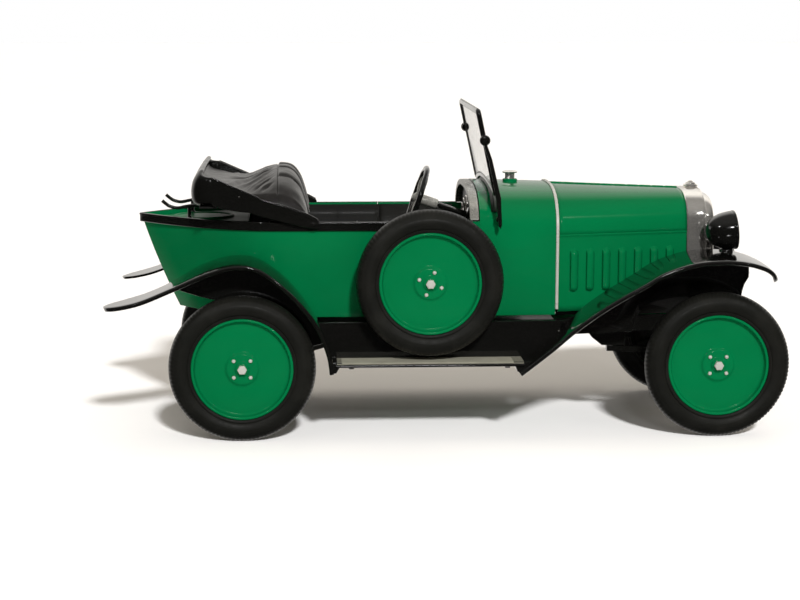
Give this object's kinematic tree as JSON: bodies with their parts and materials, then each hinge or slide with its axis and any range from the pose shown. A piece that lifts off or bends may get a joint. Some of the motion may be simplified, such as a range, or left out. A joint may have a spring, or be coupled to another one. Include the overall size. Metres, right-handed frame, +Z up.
{
  "type": "clockwork toy open tourer car",
  "caption": "Tinplate clockwork toy of a 1920s boat-tail open tourer car with disc wheels, spare wheel, folded hood, tilting windscreen, steering and winding key.",
  "frame": {"origin": "centre of the overall box at ground level, under the tyres", "axes": "+X forward, the way the car drives; +Y to the car's left; +Z up"},
  "size_m": [0.2164, 0.088, 0.1036],
  "materials": {
    "green_enamel": "glossy deep green baked enamel",
    "black_enamel": "gloss black enamel",
    "tyre_rubber": "matt black rubber",
    "nickel": "polished nickel plate",
    "satin_steel": "satin tinplate and steel",
    "brass": "plain brass",
    "leather": "black grained leathercloth",
    "lamp_glass": "clear glass",
    "screen_glass": "clear glass"
  },
  "bodies": {
    "chassis": {"chassis_frame": "black_enamel", "body_tub": "green_enamel", "tail_deck": "green_enamel", "bonnet": "green_enamel", "scuttle_strip": "satin_steel", "radiator_shell": "nickel", "radiator_core": "black_enamel", "radiator_cap": "nickel", "filler_cap": "nickel", "top_rail": "black_enamel", "cockpit_lining": "leather", "cockpit_floor": "black_enamel", "dashboard": "black_enamel", "dash_hoop": "satin_steel", "front_seat": "leather", "rear_seat": "leather", "steering_column": "black_enamel", "windscreen_arms": "black_enamel", "front_fender_right": "black_enamel", "front_fender_left": "black_enamel", "rear_fender_right": "black_enamel", "rear_fender_left": "black_enamel", "running_boards": "black_enamel", "tread_plates": "satin_steel", "headlight_shells": "black_enamel", "headlight_lenses": "lamp_glass", "spare_tyre": "tyre_rubber", "spare_disc": "green_enamel", "spare_mount": "black_enamel", "front_axle": "black_enamel", "leaf_springs": "black_enamel", "hood_rests": "black_enamel", "motor_frame": "satin_steel", "mainspring": "satin_steel"},
    "rear_axle": {"rear_axle": "satin_steel", "rear_tyres": "tyre_rubber", "rear_discs": "green_enamel", "wheel_nuts_rear": "nickel"},
    "third_wheel": {"third_wheel": "brass"},
    "centre_wheel": {"centre_wheel": "brass"},
    "great_wheel": {"great_wheel": "brass"},
    "click": {"click": "satin_steel"},
    "winding": {"winding_arbor": "satin_steel", "winding_key": "satin_steel"},
    "stop_lever": {"stop_lever": "satin_steel"},
    "knuckle_right": {"stub_axle_right": "black_enamel"},
    "knuckle_left": {"stub_axle_left": "black_enamel"},
    "wheel_front_right": {"tyre_front_right": "tyre_rubber", "disc_front_right": "green_enamel", "wheel_nuts_front_right": "nickel"},
    "wheel_front_left": {"tyre_front_left": "tyre_rubber", "disc_front_left": "green_enamel", "wheel_nuts_front_left": "nickel"},
    "tie_rod": {"tie_rod": "black_enamel"},
    "steering_wheel": {"steering_wheel": "black_enamel"},
    "windscreen": {"windscreen_frame": "black_enamel", "windscreen_glass": "screen_glass"},
    "hood": {"hood_boot": "leather", "hood_roll": "leather"},
    "door": {"door": "green_enamel"}
  },
  "joints": [
    {"name": "rear_axle_spin", "type": "hinge", "parent": "chassis", "child": "rear_axle", "pos_m": [-0.06491, 0, 0.0231], "axis": [0, 1, 0], "continuous": true},
    {"name": "third_wheel_spin", "type": "hinge", "parent": "chassis", "child": "third_wheel", "pos_m": [-0.05381, 0, 0.0257], "axis": [0, 1, 0], "continuous": true},
    {"name": "centre_wheel_spin", "type": "hinge", "parent": "chassis", "child": "centre_wheel", "pos_m": [-0.04471, 0, 0.0303], "axis": [0, 1, 0], "continuous": true},
    {"name": "great_wheel_spin", "type": "hinge", "parent": "chassis", "child": "great_wheel", "pos_m": [-0.03257, 0, 0.0355], "axis": [0, 1, 0], "continuous": true},
    {"name": "click_pivot", "type": "hinge", "parent": "great_wheel", "child": "click", "pos_m": [-0.03627, 0, 0.04191], "axis": [0, 1, 0], "range_deg": [-8, 0]},
    {"name": "winding_turn", "type": "hinge", "parent": "chassis", "child": "winding", "pos_m": [-0.03257, 0, 0.0355], "axis": [0, 1, 0], "range_deg": [0, 1530]},
    {"name": "stop_lever_pivot", "type": "hinge", "parent": "chassis", "child": "stop_lever", "pos_m": [-0.02251, 0, 0.0454], "axis": [0, 1, 0], "range_deg": [-5, 5]},
    {"name": "steer_right", "type": "hinge", "parent": "chassis", "child": "knuckle_right", "pos_m": [0.08509, -0.0285, 0.0231], "axis": [0, 0, 1], "range_deg": [-22, 22]},
    {"name": "steer_left", "type": "hinge", "parent": "chassis", "child": "knuckle_left", "pos_m": [0.08509, 0.0285, 0.0231], "axis": [0, 0, 1], "range_deg": [-22, 22]},
    {"name": "tie_rod_slide", "type": "slide", "parent": "chassis", "child": "tie_rod", "axis": [0, 1, 0], "range_m": [-0.0027, 0.0027]},
    {"name": "steering_wheel_turn", "type": "hinge", "parent": "chassis", "child": "steering_wheel", "pos_m": [-0.00881, -0.0135, 0.0742], "axis": [-0.9455, 0, 0.3256], "range_deg": [-88, 88]},
    {"name": "front_right_spin", "type": "hinge", "parent": "knuckle_right", "child": "wheel_front_right", "pos_m": [0.08509, -0.037, 0.0231], "axis": [0, 1, 0], "continuous": true},
    {"name": "front_left_spin", "type": "hinge", "parent": "knuckle_left", "child": "wheel_front_left", "pos_m": [0.08509, 0.037, 0.0231], "axis": [0, 1, 0], "continuous": true},
    {"name": "windscreen_tilt", "type": "hinge", "parent": "chassis", "child": "windscreen", "pos_m": [0.01109, 0, 0.094], "axis": [0, -1, 0], "range_deg": [0, 50]},
    {"name": "hood_tilt", "type": "hinge", "parent": "chassis", "child": "hood", "pos_m": [-0.04241, 0, 0.0679], "axis": [0, 1, 0], "range_deg": [0, 35]},
    {"name": "door_hinge", "type": "hinge", "parent": "chassis", "child": "door", "pos_m": [0.00109, 0.0332, 0.056], "axis": [0, 0, -1], "range_deg": [0, 75]}
  ],
  "couplings": [
    {"joint": "third_wheel_spin", "follows": "rear_axle_spin", "ratio": -0.35714},
    {"joint": "centre_wheel_spin", "follows": "rear_axle_spin", "ratio": 0.14881},
    {"joint": "great_wheel_spin", "follows": "rear_axle_spin", "ratio": -0.043768},
    {"joint": "steer_left", "follows": "steer_right", "ratio": 1},
    {"joint": "tie_rod_slide", "follows": "steer_right", "m_per_rad": -0.007},
    {"joint": "steering_wheel_turn", "follows": "steer_right", "ratio": 4}
  ]
}
